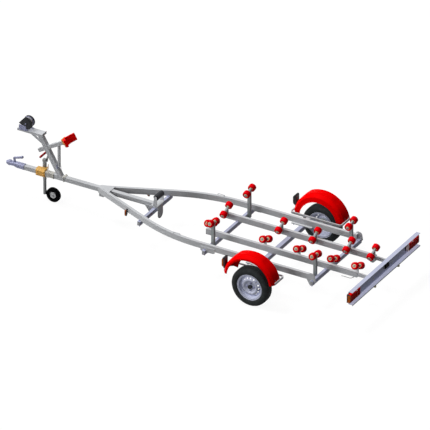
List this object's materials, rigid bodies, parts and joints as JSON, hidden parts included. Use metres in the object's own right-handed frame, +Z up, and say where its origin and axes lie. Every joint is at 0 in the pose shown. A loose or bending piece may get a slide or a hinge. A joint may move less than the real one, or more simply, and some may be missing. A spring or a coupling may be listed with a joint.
{
  "type": "boat trailer",
  "caption": "Single-axle roller trailer for a small boat: bent side rails, keel rails with leaning roller pairs, winch stand, bow stop, jockey wheel, mudguards and light board.",
  "frame": {"origin": "on the ground, under the middle of the trailer's box", "axes": "+X forward to the coupling, +Y to the left side, +Z up"},
  "size_m": [5.699, 2.05, 1.238],
  "materials": {
    "galvanised_steel": "hot-dip galvanised, matt",
    "zinc_plated_steel": "bright zinc plate",
    "yellow_zinc": "yellow passivated zinc plate",
    "tyre_rubber": "black tyre rubber",
    "black_rubber": "solid black rubber",
    "wheel_silver": "silver wheel paint",
    "red_plastic": "red moulded plastic",
    "red_polyurethane": "red polyurethane",
    "black_plastic": "black moulded plastic",
    "webbing": "woven grey winch strap",
    "red_lens": "red lamp lens",
    "amber_lens": "amber lamp lens"
  },
  "bodies": {
    "chassis": {"amber_lamps": "amber_lens", "axle_beam": "galvanised_steel", "bow_stop": "red_polyurethane", "bow_stop_arm": "galvanised_steel", "bow_stop_bracket": "yellow_zinc", "coupling_handle": "zinc_plated_steel", "coupling_head": "zinc_plated_steel", "crossmember_front": "galvanised_steel", "crossmember_middle": "galvanised_steel", "crossmember_rear": "galvanised_steel", "drawbar": "galvanised_steel", "frame_clamps": "galvanised_steel", "frame_junction": "galvanised_steel", "jockey_clamp": "yellow_zinc", "jockey_crank": "zinc_plated_steel", "jockey_outer_tube": "zinc_plated_steel", "keel_rail_left": "galvanised_steel", "keel_rail_right": "galvanised_steel", "keel_roller_bracket": "galvanised_steel", "lamp_housings": "black_plastic", "light_board": "galvanised_steel", "light_board_slides": "galvanised_steel", "mudguard_brackets": "galvanised_steel", "mudguard_left": "red_plastic", "mudguard_right": "red_plastic", "roller_stems": "galvanised_steel", "side_rail_left": "galvanised_steel", "side_rail_right": "galvanised_steel", "tail_lamps": "red_lens", "tall_posts": "galvanised_steel", "tie_down_eyes": "galvanised_steel", "winch_arm": "galvanised_steel", "winch_covers": "black_plastic", "winch_frame": "zinc_plated_steel", "winch_post": "galvanised_steel"},
    "wheel_left": {"tyre_left": "tyre_rubber", "rim_left": "wheel_silver"},
    "wheel_right": {"tyre_right": "tyre_rubber", "rim_right": "wheel_silver"},
    "jockey_leg": {"jockey_inner_tube": "zinc_plated_steel"},
    "jockey_castor": {"jockey_fork": "zinc_plated_steel"},
    "jockey_roller": {"jockey_wheel": "black_rubber"},
    "winch_spool": {"winch_drum": "zinc_plated_steel", "winch_strap": "webbing"},
    "keel_roller_body": {"keel_roller": "black_rubber"},
    "pair_keel_1_left": {"rollers_keel_1_left": "red_polyurethane"},
    "pair_keel_1_right": {"rollers_keel_1_right": "red_polyurethane"},
    "pair_keel_2_left": {"rollers_keel_2_left": "red_polyurethane"},
    "pair_keel_2_right": {"rollers_keel_2_right": "red_polyurethane"},
    "pair_keel_3_left": {"rollers_keel_3_left": "red_polyurethane"},
    "pair_keel_3_right": {"rollers_keel_3_right": "red_polyurethane"},
    "pair_keel_4_left": {"rollers_keel_4_left": "red_polyurethane"},
    "pair_keel_4_right": {"rollers_keel_4_right": "red_polyurethane"},
    "pair_keel_5_left": {"rollers_keel_5_left": "red_polyurethane"},
    "pair_keel_5_right": {"rollers_keel_5_right": "red_polyurethane"},
    "pair_post_front_left": {"rollers_post_front_left": "red_polyurethane"},
    "pair_post_front_right": {"rollers_post_front_right": "red_polyurethane"},
    "pair_post_rear_left": {"rollers_post_rear_left": "red_polyurethane"},
    "pair_post_rear_right": {"rollers_post_rear_right": "red_polyurethane"}
  },
  "joints": [
    {"name": "wheel_spin_left", "type": "hinge", "parent": "chassis", "child": "wheel_left", "pos_m": [-1.378, 0.927, 0.2735], "axis": [0, 1, 0], "continuous": true},
    {"name": "wheel_spin_right", "type": "hinge", "parent": "chassis", "child": "wheel_right", "pos_m": [-1.378, -0.927, 0.2735], "axis": [0, 1, 0], "continuous": true},
    {"name": "jockey_lift", "type": "slide", "parent": "chassis", "child": "jockey_leg", "axis": [0, 0, 1], "range_m": [0, 0.16]},
    {"name": "jockey_swivel", "type": "hinge", "parent": "jockey_leg", "child": "jockey_castor", "pos_m": [2.314, -0.075, 0.15], "axis": [0, 0, 1], "continuous": true},
    {"name": "jockey_spin", "type": "hinge", "parent": "jockey_castor", "child": "jockey_roller", "pos_m": [2.182, -0.075, 0.102], "axis": [0, 1, 0], "continuous": true},
    {"name": "winch_spin", "type": "hinge", "parent": "chassis", "child": "winch_spool", "pos_m": [2.51, 0.0155, 1.142], "axis": [0, 1, 0], "continuous": true},
    {"name": "keel_roller_spin", "type": "hinge", "parent": "chassis", "child": "keel_roller_body", "pos_m": [0.545, 0, 0.6], "axis": [0, 1, 0], "continuous": true},
    {"name": "spin_keel_1_left", "type": "hinge", "parent": "chassis", "child": "pair_keel_1_left", "pos_m": [-0.35, 0.2, 0.541], "axis": [0, 0.9063, 0.4226], "continuous": true},
    {"name": "spin_keel_1_right", "type": "hinge", "parent": "chassis", "child": "pair_keel_1_right", "pos_m": [-0.35, -0.2, 0.541], "axis": [0, 0.9063, -0.4226], "continuous": true},
    {"name": "spin_keel_2_left", "type": "hinge", "parent": "chassis", "child": "pair_keel_2_left", "pos_m": [-1.17, 0.2, 0.541], "axis": [0, 0.9063, 0.4226], "continuous": true},
    {"name": "spin_keel_2_right", "type": "hinge", "parent": "chassis", "child": "pair_keel_2_right", "pos_m": [-1.17, -0.2, 0.541], "axis": [0, 0.9063, -0.4226], "continuous": true},
    {"name": "spin_keel_3_left", "type": "hinge", "parent": "chassis", "child": "pair_keel_3_left", "pos_m": [-1.675, 0.2, 0.541], "axis": [0, 0.9063, 0.4226], "continuous": true},
    {"name": "spin_keel_3_right", "type": "hinge", "parent": "chassis", "child": "pair_keel_3_right", "pos_m": [-1.675, -0.2, 0.541], "axis": [0, 0.9063, -0.4226], "continuous": true},
    {"name": "spin_keel_4_left", "type": "hinge", "parent": "chassis", "child": "pair_keel_4_left", "pos_m": [-2.18, 0.2, 0.541], "axis": [0, 0.9063, 0.4226], "continuous": true},
    {"name": "spin_keel_4_right", "type": "hinge", "parent": "chassis", "child": "pair_keel_4_right", "pos_m": [-2.18, -0.2, 0.541], "axis": [0, 0.9063, -0.4226], "continuous": true},
    {"name": "spin_keel_5_left", "type": "hinge", "parent": "chassis", "child": "pair_keel_5_left", "pos_m": [-2.54, 0.2, 0.541], "axis": [0, 0.9063, 0.4226], "continuous": true},
    {"name": "spin_keel_5_right", "type": "hinge", "parent": "chassis", "child": "pair_keel_5_right", "pos_m": [-2.54, -0.2, 0.541], "axis": [0, 0.9063, -0.4226], "continuous": true},
    {"name": "spin_post_front_left", "type": "hinge", "parent": "chassis", "child": "pair_post_front_left", "pos_m": [-0.54, 0.47, 0.743], "axis": [0, 0.9744, 0.225], "continuous": true},
    {"name": "spin_post_front_right", "type": "hinge", "parent": "chassis", "child": "pair_post_front_right", "pos_m": [-0.54, -0.47, 0.743], "axis": [0, 0.9744, -0.225], "continuous": true},
    {"name": "spin_post_rear_left", "type": "hinge", "parent": "chassis", "child": "pair_post_rear_left", "pos_m": [-2.06, 0.47, 0.695], "axis": [0, 0.9744, 0.225], "continuous": true},
    {"name": "spin_post_rear_right", "type": "hinge", "parent": "chassis", "child": "pair_post_rear_right", "pos_m": [-2.06, -0.47, 0.695], "axis": [0, 0.9744, -0.225], "continuous": true}
  ]
}
